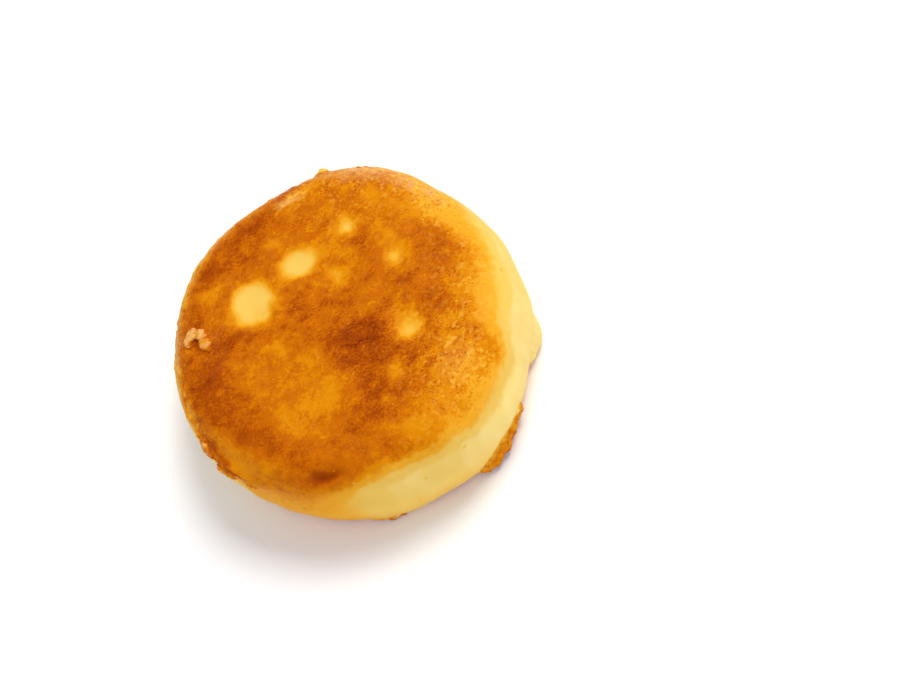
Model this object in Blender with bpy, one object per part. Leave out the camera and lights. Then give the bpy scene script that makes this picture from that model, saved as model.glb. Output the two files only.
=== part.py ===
"""A syrnik: a thick, round pancake of fried curd cheese, lying on its flat underside.

+Z is up, the origin is the middle of the underside, and -Y is the side where the pale
flank shows widest below the browned face. It is one piece of food, so it is one solid:
the patted puck, with the hollows that the pan didn't reach, and the crisp flakes and
curd crumbs that frying left on its rims, all fused into it.
"""

import math

import bmesh
import bpy
from mathutils import Vector, noise
from mathutils.bvhtree import BVHTree

MM = 0.001

# Driving dimensions
DIAMETER = 70 * MM
HEIGHT = 22 * MM
TOP_EDGE = 6.5 * MM  # radius of the soft shoulder round the face
BOTTOM_EDGE = 3.5 * MM  # radius of the tighter edge round the underside
BELLY = 1.2 * MM  # how far the flank swells out between the two edges

# The patted outline isn't a true circle: (waves round it, share of the radius, azimuth of a crest)
OUTLINE_WAVES = ((2, 0.012, -64), (3, 0.009, 37), (5, 0.007, -27), (6, 0.008, -17))
# and fingers left it lumpy: (azimuth, half width in degrees, how far it stands out, in millimetres)
OUTLINE_LUMPS = (
    (-98, 9, -0.6),
    (-54, 9, -0.5),
    (-35, 8, 0.5),
    (-17, 9, -0.6),
    (9, 9, 0.4),
    (107, 10, 0.5),
    (-164, 13, 0.5),
)

# Relief of the surface: how high it rises and falls, and over what width
SWELL, SWELL_WIDTH = 0.55 * MM, 15 * MM
CRAG, CRAG_WIDTH = 0.30 * MM, 4.5 * MM

# Cells of the mesh across a face, and rings up each stretch of the flank
FACE_CELLS = 34
BOTTOM_RINGS, WALL_RINGS, TOP_RINGS = 4, 5, 6

# Hollows that the pan didn't touch, which stay pale, and the sunken wrinkle near the rim:
# (x, y, half length, half width, turn in degrees, depth), in millimetres
FACE_HOLLOWS = (
    (-9.5, 14.2, 4.7, 4.3, 35, 0.65),
    (1.8, 14.6, 4.4, 2.9, -15, 0.60),
    (10.0, -11.2, 3.2, 2.9, 0, 0.50),
    (16.6, 2.4, 2.2, 2.4, 0, 0.40),
    (13.0, 14.2, 2.1, 1.9, 0, 0.40),
    (6.4, 7.4, 2.0, 2.4, 0, 0.25),
    (3.2, -16.6, 1.9, 1.9, 0, 0.25),
    (-18.6, -23.6, 3.6, 1.5, -25, 0.80),
)
UNDERSIDE_HOLLOWS = (
    (-13.0, -9.0, 5.0, 3.4, 20, 0.50),
    (9.5, -14.0, 3.6, 3.0, -30, 0.45),
    (15.5, 7.0, 4.4, 3.2, 60, 0.50),
    (-7.5, 15.5, 3.0, 2.4, 0, 0.40),
)

# Crisp crust that stands out of the flank:
# (azimuth where it starts, where it ends, height above the underside, reach, thickness)
FLAKES = (
    (-85, -61, 1.25, 1.5, 2.1),
    (-125, -116, 0.95, 0.9, 1.6),
    (176, 212, 17.2, 0.9, 3.4),
    (22, 40, 1.15, 1.3, 1.9),
    (138, 163, 1.20, 1.5, 2.0),
)
# How craggy the scraps are, and how their outer edges are torn: share of the reach, width of a tear
RAGGEDNESS = 0.35
TORN, TEAR_WIDTH = 0.45, 1.6 * MM

# Crumbs of curd stuck on top: (x, y, half width, share of its width that it is high)
FACE_CRUMBS = (
    (-21.4, 14.6, 1.35, 0.75),
    (-22.3, 16.9, 1.45, 0.50),
    (-24.0, 16.0, 0.85, 0.55),
    (16.6, 28.2, 1.10, 0.80),
    (-3.6, -28.7, 0.70, 0.60),
    (13.2, 14.0, 0.60, 0.60),
    (7.4, 26.6, 0.90, 0.45),
)
# and on the flank: (azimuth, height above the underside, half width, share)
FLANK_CRUMBS = (
    (-3, 12.5, 0.80, 0.55),
    (-38, 9.0, 0.90, 0.45),
    (70, 10.5, 0.85, 0.50),
    (165, 8.0, 0.95, 0.45),
    (-100, 4.2, 0.70, 0.45),
)

LEAST_CLEARANCE = 0.05 * MM  # a scrap ends this far above what the syrnik lies on

CRUST_COLOUR = (0.62, 0.21, 0.018, 1)
CURD_COLOUR = (0.89, 0.62, 0.21, 1)
FLANK_FROM, FLANK_TO = 2 * MM, 17.5 * MM  # the stretch of the height that stayed pale


def clear_scene():
    for thing in list(bpy.data.objects):
        bpy.data.objects.remove(thing)


def material(name, colour, roughness):
    made = bpy.data.materials.new(name)
    made.use_nodes = True
    shader = made.node_tree.nodes["Principled BSDF"]
    shader.inputs["Base Color"].default_value = colour
    shader.inputs["Roughness"].default_value = roughness
    shader.inputs["Metallic"].default_value = 0
    return made


def outline_radius(azimuth):
    """The widest reach of the puck in one direction."""
    waves = sum(
        share * math.cos(count * (azimuth - math.radians(crest)))
        for count, share, crest in OUTLINE_WAVES
    )
    lumps = 0
    for middle, half_width, height in OUTLINE_LUMPS:
        aside = math.remainder(azimuth - math.radians(middle), math.tau)
        lumps += height * MM * math.exp(-((aside / math.radians(half_width)) ** 2))
    return DIAMETER / 2 * (1 + waves) + lumps


def inset(height):
    """How far the flank stays inside the outline at one height."""
    if height < BOTTOM_EDGE:
        rise = BOTTOM_EDGE - height
        return BELLY + BOTTOM_EDGE - math.sqrt(BOTTOM_EDGE**2 - rise**2)
    shoulder = HEIGHT - TOP_EDGE
    if height > shoulder:
        rise = min(height - shoulder, TOP_EDGE)
        return BELLY + TOP_EDGE - math.sqrt(TOP_EDGE**2 - rise**2)
    share = (height - BOTTOM_EDGE) / (shoulder - BOTTOM_EDGE)
    return BELLY * (1 + math.cos(math.tau * share)) / 2


def ring_heights():
    """Heights of the rings up the flank, evenly turned round both edges."""
    quarter = math.pi / 2
    bottom = [
        BOTTOM_EDGE * (1 - math.cos(quarter * step / BOTTOM_RINGS))
        for step in range(BOTTOM_RINGS)
    ]
    wall_height = HEIGHT - TOP_EDGE - BOTTOM_EDGE
    wall = [BOTTOM_EDGE + wall_height * step / WALL_RINGS for step in range(WALL_RINGS)]
    top = [
        HEIGHT - TOP_EDGE * (1 - math.sin(quarter * step / TOP_RINGS))
        for step in range(TOP_RINGS + 1)
    ]
    return bottom + wall + top


def square_to_disc(x, y):
    """Reach, 0 to 1, and azimuth on a disc of a point of the square from -1 to 1."""
    across = x * math.sqrt(1 - y**2 / 2)
    along = y * math.sqrt(1 - x**2 / 2)
    return math.hypot(across, along), math.atan2(along, across)


def block_of_cells(levels):
    """A closed block of square cells, 2 wide and deep, whose levels are 1 apart."""
    block = bmesh.new()
    bmesh.ops.create_grid(block, x_segments=FACE_CELLS, y_segments=FACE_CELLS, size=1)
    lid = block.verts[:] + block.edges[:] + block.faces[:]
    for level in range(1, levels):
        lid = bmesh.ops.extrude_face_region(block, geom=lid)["geom"]
        for corner in (item for item in lid if isinstance(item, bmesh.types.BMVert)):
            corner.co.z = level
    bmesh.ops.recalc_face_normals(block, faces=block.faces)
    return block


def hollow_depth(point, hollows):
    """How deep the surface lies at a point of a face that has these hollows."""
    depth = 0
    for x, y, length, width, turn, deepest in hollows:
        across = Vector((point.x / MM - x, point.y / MM - y))
        turn = math.radians(turn)
        along = across.x * math.cos(turn) + across.y * math.sin(turn)
        aside = across.y * math.cos(turn) - across.x * math.sin(turn)
        distance = (along / length) ** 2 + (aside / width) ** 2
        depth += deepest * MM * math.exp(-(distance**2))
    return depth


def relief(point):
    """How far the surface stands out at a point of the smooth puck."""
    if point.z == 0:
        return -hollow_depth(point, UNDERSIDE_HOLLOWS)
    clear_of_pan = min(1, point.z / BOTTOM_EDGE)
    swell = SWELL * noise.noise(point / SWELL_WIDTH)
    crag = CRAG * noise.noise(point / CRAG_WIDTH + Vector((5, 9, 2)))
    on_face = max(0, 1 - (HEIGHT - point.z) / TOP_EDGE)
    return clear_of_pan * (swell + crag) - on_face * hollow_depth(point, FACE_HOLLOWS)


def puck():
    """The patted puck: a block of cells laid on its round form, then given its relief."""
    heights = ring_heights()
    body = block_of_cells(len(heights))
    for corner in body.verts:
        reach, azimuth = square_to_disc(corner.co.x, corner.co.y)
        height = heights[round(corner.co.z)]
        radius = reach * (outline_radius(azimuth) - inset(height))
        corner.co = (radius * math.cos(azimuth), radius * math.sin(azimuth), height)
    body.normal_update()
    for corner in body.verts:
        corner.co += corner.normal * relief(corner.co)
    return body


def ragged(direction, seed):
    """A scale round 1 that makes a round scrap craggy."""
    return 1 + RAGGEDNESS * noise.noise(1.7 * direction + Vector((seed, 0, 0)))


def flake(seed, start, end, height, reach, thickness):
    """A crisp ridge of crust along the flank, thick in the middle and ragged outside."""
    scrap = bmesh.new()
    bmesh.ops.create_icosphere(scrap, subdivisions=3, radius=1)
    middle, half = math.radians((start + end) / 2), math.radians((end - start) / 2)
    for corner in scrap.verts:
        along, out, up = corner.co * ragged(corner.co, seed)
        azimuth = middle + along * half
        tear = 1 + TORN * noise.noise(Vector((azimuth * DIAMETER / 2 / TEAR_WIDTH, seed, 0)))
        z = max(height * MM + up * thickness * MM / 2, LEAST_CLEARANCE)
        radius = outline_radius(azimuth) - inset(height * MM) + out * reach * MM * tear
        corner.co = (radius * math.cos(azimuth), radius * math.sin(azimuth), z)
    return scrap


def crumb(seed, spot, normal, half_width, flatness):
    """A small round crumb, pressed halfway into the surface at a spot."""
    scrap = bmesh.new()
    bmesh.ops.create_icosphere(scrap, subdivisions=2, radius=half_width * MM)
    turn = normal.to_track_quat("Z", "Y")
    for corner in scrap.verts:
        shape = corner.co * ragged(corner.co.normalized(), seed)
        shape.z *= flatness
        corner.co = spot + turn @ shape
    return scrap


def crumbs(body):
    """Every crumb, each found its place on the surface by looking for it from outside."""
    surface = BVHTree.FromBMesh(body)
    found = []
    for x, y, half_width, flatness in FACE_CRUMBS:
        above = Vector((x * MM, y * MM, 2 * HEIGHT))
        spot, normal, *_ = surface.ray_cast(above, Vector((0, 0, -1)))
        found.append((spot, normal, half_width, flatness))
    for azimuth, height, half_width, flatness in FLANK_CRUMBS:
        outwards = Vector((math.cos(math.radians(azimuth)), math.sin(math.radians(azimuth)), 0))
        beside = outwards * DIAMETER + Vector((0, 0, height * MM))
        spot, normal, *_ = surface.ray_cast(beside, -outwards)
        found.append((spot, normal, half_width, flatness))
    return [crumb(seed, *place) for seed, place in enumerate(found)]


def object_from(name, shape, collection, *materials):
    mesh = bpy.data.meshes.new(name)
    shape.to_mesh(mesh)
    shape.free()
    for finish in materials:
        mesh.materials.append(finish)
    made = bpy.data.objects.new(name, mesh)
    collection.objects.link(made)
    return made


def fuse(body, scraps):
    """Joins the scraps into the body with one Boolean union, then removes them."""
    union = body.modifiers.new("Fuse", "BOOLEAN")
    union.operation = "UNION"
    union.operand_type = "COLLECTION"
    union.collection = scraps
    union.material_mode = "TRANSFER"
    bpy.context.view_layer.objects.active = body
    bpy.ops.object.modifier_apply(modifier=union.name)
    for scrap in list(scraps.objects):
        bpy.data.objects.remove(scrap)
    bpy.data.collections.remove(scraps)


def main():
    clear_scene()
    crust = material("browned_crust", CRUST_COLOUR, 0.45)
    curd = material("pale_curd", CURD_COLOUR, 0.5)
    scene = bpy.context.scene.collection
    scraps = bpy.data.collections.new("scraps")
    scene.children.link(scraps)
    shape = puck()
    for crumb_shape in crumbs(shape):
        object_from("crumb", crumb_shape, scraps, curd)
    for seed, place in enumerate(FLAKES):
        object_from("flake", flake(seed, *place), scraps, crust)
    syrnik = object_from("syrnik", shape, scene, crust, curd)
    for facet in syrnik.data.polygons:
        facet.material_index = int(FLANK_FROM < facet.center.z < FLANK_TO)
    fuse(syrnik, scraps)
    syrnik.data.shade_smooth()
    syrnik.data.set_sharp_from_angle(angle=math.radians(50))


main()
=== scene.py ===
# %% [markdown]
# # A syrnik
#
# A syrnik is a thick pancake of fresh curd cheese, patted round by hand and fried on both
# faces. Three things make it look like itself. The faces are browned unevenly, from gold to
# chestnut, with bare spots where the dough didn't touch the pan. The flank between them never
# touched it, so it stays smooth and pale as butter. And the rims are craggy, because crust
# tears and rolls up there. This lesson models the form first, then paints how brown each
# point became, and lets that one value drive both the relief and the colours.
#
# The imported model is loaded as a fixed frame. It gives the true size and form of the solid,
# and everything below is fitted to it.

# %% Load the frame
import math
from functools import partial

import bpy
import numpy as np
from mathutils import Matrix, Vector, kdtree, noise


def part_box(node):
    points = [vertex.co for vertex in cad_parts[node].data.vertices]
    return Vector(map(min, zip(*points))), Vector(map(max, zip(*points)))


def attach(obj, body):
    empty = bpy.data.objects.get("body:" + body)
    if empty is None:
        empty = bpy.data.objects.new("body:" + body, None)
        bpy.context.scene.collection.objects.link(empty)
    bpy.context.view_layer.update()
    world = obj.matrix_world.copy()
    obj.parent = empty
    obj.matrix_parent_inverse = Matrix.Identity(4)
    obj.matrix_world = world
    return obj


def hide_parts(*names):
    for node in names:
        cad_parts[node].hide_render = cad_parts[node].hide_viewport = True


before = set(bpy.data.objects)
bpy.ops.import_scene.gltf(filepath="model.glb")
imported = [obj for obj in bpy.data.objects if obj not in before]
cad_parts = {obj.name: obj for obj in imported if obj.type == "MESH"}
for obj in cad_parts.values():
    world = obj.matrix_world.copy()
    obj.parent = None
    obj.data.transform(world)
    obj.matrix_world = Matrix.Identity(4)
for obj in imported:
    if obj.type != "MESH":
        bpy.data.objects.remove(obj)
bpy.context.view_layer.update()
low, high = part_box("syrnik")

MM = 0.001
extent = (high - low) / MM
print(f"The solid is {extent.x:.1f} x {extent.y:.1f} x {extent.z:.1f} mm")

# %% [markdown]
# ## The camera
#
# The photograph was taken through a long lens, from well above the syrnik's face and with the
# picture turned. A long lens shows little perspective, so a lens of 100 mm on a sensor 36 mm
# wide fits it, and the distance follows from how many pixels a millimetre of the syrnik takes
# up. The camera first looks straight at the syrnik, then rolls, and last it turns aside a
# little, so that the syrnik's middle lands on the right pixel. Turning keeps the lens
# unshifted.

# %% Place the camera
FRAME_WIDTH, FRAME_HEIGHT = 900, 675
LENS, SENSOR = 100, 36
ELEVATION = math.radians(60)
ROLL = math.radians(40)
PIXELS_PER_MM = 5.25
SYRNIK_PIXEL = (352.5, 342.4)
HEIGHT = 22

focal_pixels = FRAME_WIDTH * LENS / SENSOR
distance = focal_pixels / PIXELS_PER_MM * MM
middle = Vector((0, 0, HEIGHT / 2 * MM))
back = Vector((0, -math.cos(ELEVATION), math.sin(ELEVATION)))

look = Matrix.Rotation(math.pi / 2 - ELEVATION, 3, "X") @ Matrix.Rotation(-ROLL, 3, "Z")
aside = (SYRNIK_PIXEL[0] - FRAME_WIDTH / 2) / focal_pixels
above = (FRAME_HEIGHT / 2 - SYRNIK_PIXEL[1]) / focal_pixels
turn_aside = Vector((aside, above, -1)).rotation_difference(Vector((0, 0, -1)))

bpy.ops.object.camera_add(location=middle + back * distance)
camera = bpy.context.object
camera.rotation_euler = (look @ turn_aside.to_matrix()).to_euler()
camera.data.lens = LENS
camera.data.sensor_width = SENSOR
camera.data.clip_start = 0.01
bpy.context.scene.camera = camera
print(f"The camera is {distance * 100:.0f} cm from the syrnik")

# %% [markdown]
# ## The light
#
# The light is that of a white studio. A bright surrounding leaves only soft shadows. One lamp
# from the upper right of the picture brightens the flank there and drops a soft shadow at the
# lower left. A weak one from below the picture keeps the near flank a clear yellow, and a
# weaker one from the left, low over the floor, lifts the left rim out of the shade. The
# surrounding is a touch cool and the lamps a touch warm, so the shadow stays a neutral grey
# beside all that yellow. The colours are shown by the plain "Standard" view transform, because
# a filmic one would turn the saturated oranges dull. A plain white floor carries the shadow.

# %% Light the scene
SURROUNDING, SURROUNDING_COLOUR = 0.51, (0.95, 0.98, 1.08, 1)
LAMP_DISTANCE = 1.0
# (azimuth and elevation in degrees, power in watts, size in metres, colour)
LAMPS = (
    (20, 58, 7.2, 0.45, (1, 0.985, 0.94)),
    (-95, 28, 1.9, 0.5, (1, 0.99, 0.96)),
    (165, 9, 1.1, 0.3, (1, 0.96, 0.88)),
)

scene = bpy.context.scene
scene.view_settings.view_transform = "Standard"
scene.world = bpy.data.worlds.new("white_studio")
scene.world.use_nodes = True
surrounding = scene.world.node_tree.nodes["Background"]
surrounding.inputs["Color"].default_value = SURROUNDING_COLOUR
surrounding.inputs["Strength"].default_value = SURROUNDING

for azimuth, elevation, power, width, colour in LAMPS:
    azimuth, elevation = math.radians(azimuth), math.radians(elevation)
    towards_lamp = Vector((
        math.cos(elevation) * math.cos(azimuth),
        math.cos(elevation) * math.sin(azimuth),
        math.sin(elevation),
    ))
    bpy.ops.object.light_add(type="AREA", location=middle + towards_lamp * LAMP_DISTANCE)
    lamp = bpy.context.object
    lamp.rotation_euler = towards_lamp.to_track_quat("Z", "Y").to_euler()
    lamp.data.energy = power
    lamp.data.size = width
    lamp.data.color = colour
print(f"{len(LAMPS)} lamps, {sum(lamp[2] for lamp in LAMPS):.1f} watts in all")

# %% Lay the floor
FLOOR_SIZE, FLOOR_COLOUR, FLOOR_ROUGHNESS = 3, (1, 1, 1, 1), 0.9

bpy.ops.mesh.primitive_plane_add(size=FLOOR_SIZE)
floor = bpy.context.object
floor.name = "floor"
white = bpy.data.materials.new("white_floor")
white.use_nodes = True
floor_shader = white.node_tree.nodes["Principled BSDF"]
floor_shader.inputs["Base Color"].default_value = FLOOR_COLOUR
floor_shader.inputs["Roughness"].default_value = FLOOR_ROUGHNESS
floor.data.materials.append(white)
print(f"The floor is {FLOOR_SIZE} m square")

# %% [markdown]
# ## Helpers for modelling
#
# Operators act on whatever is selected, so each piece is first made the only selected one.
# Modifiers are applied at once, so that the next step works on the finished mesh. Points are
# read and written as one array in millimetres, which suits a thing as small as this.

# %% Helpers for pieces and their points
def only(*pieces):
    """Selects these pieces alone, and makes the first of them the active one."""
    bpy.ops.object.select_all(action="DESELECT")
    for piece in pieces:
        piece.select_set(True)
    bpy.context.view_layer.objects.active = pieces[0]


def shape(piece, kind, **settings):
    """Adds a modifier, sets it up and applies it."""
    only(piece)
    modifier = piece.modifiers.new(kind.lower(), kind)
    for setting, value in settings.items():
        setattr(modifier, setting, value)
    bpy.ops.object.modifier_apply(modifier=modifier.name)


def even_skin(piece, cell, rounds):
    """Melts a piece into one skin of even faces, and smooths it in a few rounds."""
    shape(piece, "REMESH", mode="VOXEL", voxel_size=cell * MM)
    shape(piece, "SMOOTH", factor=0.5, iterations=rounds)


def points_of(piece):
    """Every vertex of a piece, in millimetres."""
    points = np.empty(len(piece.data.vertices) * 3)
    piece.data.vertices.foreach_get("co", points)
    return points.reshape(-1, 3) / MM


def move_points(piece, points):
    """Puts every vertex of a piece at a new place, in millimetres."""
    piece.data.vertices.foreach_set("co", (points * MM).ravel())
    piece.data.update()


# %% [markdown]
# Nothing on a syrnik is even, so two kinds of noise are used throughout. One gives a number at
# every point, to bend outlines and vary how brown they are. The other is a cloud texture in a
# Displace modifier, which raises and sinks the surface, as far as a vertex group lets it.

# %% Helpers for unevenness
def blotches(points, width, seed):
    """A smooth noise from about -1 to 1 at every point, with blotches of one width."""
    offset = Vector((seed, 2 * seed, 3 * seed))
    return np.array([noise.noise(Vector(point) / width + offset) for point in points])


def weigh(piece, name, weights):
    """Stores one weight for each vertex as a vertex group, for modifiers to follow."""
    group = piece.vertex_groups.new(name=name)
    for index, weight in enumerate(weights.tolist()):
        group.add((index,), weight, "REPLACE")


def roughen(piece, width, height, group="", middle_value=0.5):
    """Raises and sinks the surface by a cloudy noise, as far as a vertex group lets it."""
    clouds = bpy.data.textures.new("clouds", "CLOUDS")
    clouds.noise_scale = width * MM
    clouds.noise_depth = 2
    shape(piece, "DISPLACE", texture=clouds, texture_coords="LOCAL", strength=height * MM,
          mid_level=middle_value, vertex_group=group)
    bpy.data.textures.remove(clouds)


# %% [markdown]
# ## The form to follow
#
# The solid is made of flat facets about 2 mm wide. A copy of it is turned into an even skin by
# a voxel remesh and smoothed, which melts the facets away. This soft copy is only a guide, and
# it is removed once the syrnik's own mesh has been wrapped onto it.

# %% Soften a copy of the solid
GUIDE_CELL = 0.7

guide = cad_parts["syrnik"].copy()
guide.data = guide.data.copy()
guide.parent = None
guide.name = "guide"
scene.collection.objects.link(guide)
shape(guide, "WELD", merge_threshold=0.01 * MM)
even_skin(guide, GUIDE_CELL, 10)
shape(guide, "SUBSURF", levels=1, render_levels=1)
print(f"The guide has {len(guide.data.polygons)} faces")

# %% [markdown]
# ## The patted puck
#
# A syrnik is patted from a ball into a puck, so a cylinder is the natural start. Its lower rim
# gets a tight bevel, where the dough sat in the pan, and its upper rim a wide soft one. Then a
# voxel remesh gives it a fine even mesh, fine enough to hold crumbs of crust as real
# relief, and a shrinkwrap lays it on the guide.

# %% Model the puck
RADIUS = 35
TOP_EDGE, BOTTOM_EDGE = 6.5, 3.5
CELL = 0.38

bpy.ops.mesh.primitive_cylinder_add(
    vertices=96, radius=RADIUS * MM, depth=HEIGHT * MM, location=middle)
syrnik = bpy.context.object
syrnik.name = "fried_syrnik"
bpy.ops.object.transform_apply(location=True)


def bevel_rim(piece, z, width, segments):
    """Rounds the rim of a puck that lies at one height."""
    bpy.ops.object.mode_set(mode="EDIT")
    bpy.ops.mesh.select_mode(type="EDGE")
    bpy.ops.mesh.select_all(action="DESELECT")
    bpy.ops.object.mode_set(mode="OBJECT")
    for edge in piece.data.edges:
        ends = [piece.data.vertices[end].co.z for end in edge.vertices]
        edge.select = all(abs(end - z * MM) < 0.1 * MM for end in ends)
    bpy.ops.object.mode_set(mode="EDIT")
    bpy.ops.mesh.bevel(offset=width * MM, segments=segments)
    bpy.ops.object.mode_set(mode="OBJECT")


bevel_rim(syrnik, HEIGHT, TOP_EDGE, 8)
bevel_rim(syrnik, 0, BOTTOM_EDGE, 6)
shape(syrnik, "REMESH", mode="VOXEL", voxel_size=CELL * MM)
shape(syrnik, "SHRINKWRAP", target=guide, wrap_method="NEAREST_SURFACEPOINT")
shape(syrnik, "SMOOTH", factor=0.5, iterations=4)
bpy.data.objects.remove(guide)
print(f"The puck has {len(syrnik.data.polygons)} faces")

# %% [markdown]
# ## Where it browned
#
# Browning is one number for each point of the surface: 0 is bare curd, 0.35 is gold, 0.6 is
# the usual orange-brown, and 1 is nearly burnt. Painting it by hand would tie it to this one
# mesh, so it is worked out from a list of patches instead. Each patch is an ellipse on a
# face, with its own browning and its own soft edge, and a noise bends all of them, so that no
# outline looks drawn. A later patch covers an earlier one, so the broad fields come first.

# %% The broad fields of the upper face
# (x, y, half length, half width, turn in degrees, browning, softness of its edge), in millimetres
BROAD_FIELDS = (
    # golden
    (-14, -6, 8, 9, 0, 0.53, 0.35),
    (8, -26, 13, 7, 8, 0.43, 0.3),
    (-5, -28, 7, 4, 5, 0.54, 0.35),
    (-29, -17, 3.5, 9, 12, 0.45, 0.3),
    (-24, -27, 6, 2.2, -35, 0.4, 0.3),
    (-27.6, -16.5, 2.3, 5.5, 25, 0.51, 0.35),
    (-19.5, -27.6, 6, 1.4, -27, 0.52, 0.35),
    (12, 25.9, 6.5, 2, -10, 0.43, 0.35),
    (18, 23, 3.5, 2.5, -40, 0.54, 0.4),
    (8, 9, 4.5, 3, 0, 0.5, 0.35),
    # brown
    (-24.5, -6, 4.5, 10, 8, 0.68, 0.35),
    (-21, -17.5, 6, 3.2, -25, 0.67, 0.4),
    (-24, 8, 8, 5, 30, 0.7, 0.35),
    (0.5, -12, 6.5, 11, 0, 0.71, 0.3),
    (-4, 24, 9, 4.5, 0, 0.65, 0.4),
    (2, 17.8, 4, 1.5, -10, 0.5, 0.4),
    (25, 8, 3, 5, -10, 0.47, 0.4),
    (15, -23, 3, 3, 0, 0.56, 0.4),
    (19, -1, 5, 5, 0, 0.6, 0.4),
    (13.5, 5, 5, 3, 0, 0.62, 0.4),
)
print(f"{len(BROAD_FIELDS)} broad fields")

# %% [markdown]
# On these fields lie smaller patches. The brownest are where the face bulged and was pressed
# into the fat, and the golden touches between them are where it lay a little higher.

# %% The small patches of the upper face
BROWNEST_PATCHES = (
    (1.8, -6.8, 5.6, 3.8, -8, 0.86, 0.35),
    (-5.2, -18.5, 1.8, 3.2, 15, 0.77, 0.4),
    (6.5, -17.5, 2.6, 2.4, -30, 0.7, 0.4),
    (-24.8, 7.4, 4, 1.7, 22, 0.82, 0.4),
    (-17.2, 10.6, 2.6, 1.4, -20, 0.82, 0.4),
    (-14, 9.4, 2.2, 1.7, -30, 0.74, 0.4),
    (-28, 1.8, 1.7, 3.4, -20, 0.77, 0.4),
    (-26.8, -6.6, 2.2, 1.4, -15, 0.78, 0.4),
    (-24.6, -12.4, 2.6, 1.8, 60, 0.76, 0.4),
    (-0.2, 27.5, 3.8, 1.5, 0, 0.82, 0.4),
    (-13, 25.8, 2.2, 1.3, 0, 0.8, 0.4),
    (-9.8, 24.4, 2.6, 1.1, -25, 0.74, 0.4),
    (-19.2, 19.6, 1.5, 3.2, 0, 0.7, 0.4),
    (13.6, -1.7, 3.6, 1.9, -35, 0.71, 0.4),
    (21.6, -1.4, 1.8, 3.6, 0, 0.64, 0.4),
    (17, -11.2, 1.5, 2.2, 0, 0.71, 0.4),
    (13.7, 10.2, 1.7, 1.1, 15, 0.8, 0.35),
    (18.3, -25.5, 1.1, 2.8, -8, 0.58, 0.35),
    (-7.2, -27.6, 1.3, 3.6, -5, 0.64, 0.4),
)
GOLDEN_TOUCHES = (
    (-18.2, -10.8, 2, 3.6, 15, 0.47, 0.4),
    (-9.6, -11, 4, 3, 0, 0.45, 0.35),
    (-8.8, -4.2, 1, 2, 15, 0.48, 0.4),
    (-12, 3, 1.2, 2.4, 25, 0.47, 0.4),
    (-18.5, 4, 2, 4, 10, 0.53, 0.4),
    (-30, -5, 1.2, 4.5, 5, 0.5, 0.35),
    (6, -1.8, 4, 1.5, 0, 0.55, 0.4),
    (3, -16.7, 1.7, 1.9, 0, 0.46, 0.35),
    (-13.6, 21.4, 2.8, 1.2, -5, 0.47, 0.35),
    (0.9, 21.6, 1.6, 1, -30, 0.47, 0.35),
    (6, 7, 1.7, 1.7, 0, 0.36, 0.35),
    (10, 9, 1.2, 1.2, 0, 0.49, 0.4),
    (17.4, 8.8, 1.9, 1.6, 0, 0.49, 0.4),
    (10.4, 26.7, 4.6, 1.1, -5, 0.42, 0.35),
    (16.2, -16, 1.4, 1.2, 0, 0.46, 0.4),
    (13.8, -19, 1.1, 0.8, 0, 0.34, 0.4),
    (8, -18.8, 2.2, 0.8, 0, 0.45, 0.4),
    (14, -26, 4.5, 3, 15, 0.37, 0.4),
    (-28.4, -12.8, 2.4, 7.8, 25, 0.52, 0.2),
    (-31.2, -8.6, 1.8, 3.6, 15, 0.47, 0.3),
    (22.5, -11.8, 2.4, 4.2, -15, 0.47, 0.4),
    (12, 19.5, 4.2, 1.6, 0, 0.53, 0.4),
    (-6.4, -4.4, 1.1, 2.4, 0, 0.5, 0.4),
    (-22.4, -24.6, 1.2, 3.2, 45, 0.56, 0.25),
    (-6, -14.4, 1.2, 1.6, 0, 0.53, 0.35),
    (21.5, 15, 3, 3.5, 0, 0.47, 0.4),
    (18.2, 6, 1.4, 1.4, 0, 0.46, 0.4),
    (10, -0.8, 2.6, 1.6, 0, 0.55, 0.4),
    (10, -6.6, 2, 1.4, 0, 0.53, 0.35),
    (0, -28.6, 3, 2.4, 0, 0.43, 0.35),
)
print(f"{len(BROWNEST_PATCHES)} of the brownest patches, {len(GOLDEN_TOUCHES)} golden touches")

# %% [markdown]
# Last come the marks that a viewer knows this syrnik by: five bare spots where the hollow face
# never met the pan, each in a golden rim, and a sunken wrinkle, darkened partly as painted
# shade.

# %% The bare spots and the wrinkle
BARE_SPOTS = (
    # their golden rims
    (-9.8, 14.1, 5.4, 4.7, 20, 0.44, 0.14),
    (2.8, 14.3, 5.2, 3.3, -10, 0.44, 0.16),
    (-5.4, 19.2, 5.5, 1.4, -8, 0.63, 0.3),
    (10, -11, 3, 3.2, 0, 0.46, 0.22),
    (16.8, 2.3, 2.7, 2.7, 0, 0.47, 0.25),
    (13, 14.2, 2.9, 2.9, 0, 0.48, 0.25),
    # the spots themselves
    (-9.8, 14.7, 4.4, 3.7, 35, 0.16, 0.1),
    (-9.8, 11.4, 1.4, 1.7, 0, 0.2, 0.2),
    (1.7, 14.8, 3.6, 2.6, -22, 0.16, 0.13),
    (10.1, -10.9, 2, 2.2, 0, 0.34, 0.22),
    (9.8, -11.7, 1.4, 1.1, 0, 0.21, 0.28),
    (16.7, 2.2, 1.6, 1.7, 0, 0.37, 0.25),
    (16.6, 2.2, 0.8, 0.8, 0, 0.22, 0.3),
    (13.1, 14.2, 1.5, 1.7, 0, 0.35, 0.28),
    (13.3, 14, 0.9, 0.7, 0, 0.18, 0.3),
)
SHADED_HOLLOWS = (
    # the sunken wrinkle, darkened partly as painted shade
    (-19.2, -23.5, 2.6, 0.9, -24, 0.88, 0.25),
    (-21, -22.3, 1.3, 0.8, -40, 0.86, 0.25),
    # the hollow beside the grains of curd, darkened as painted shade
    (-22.9, 15.3, 0.7, 1.3, 0, 0.86, 0.35),
)
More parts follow.
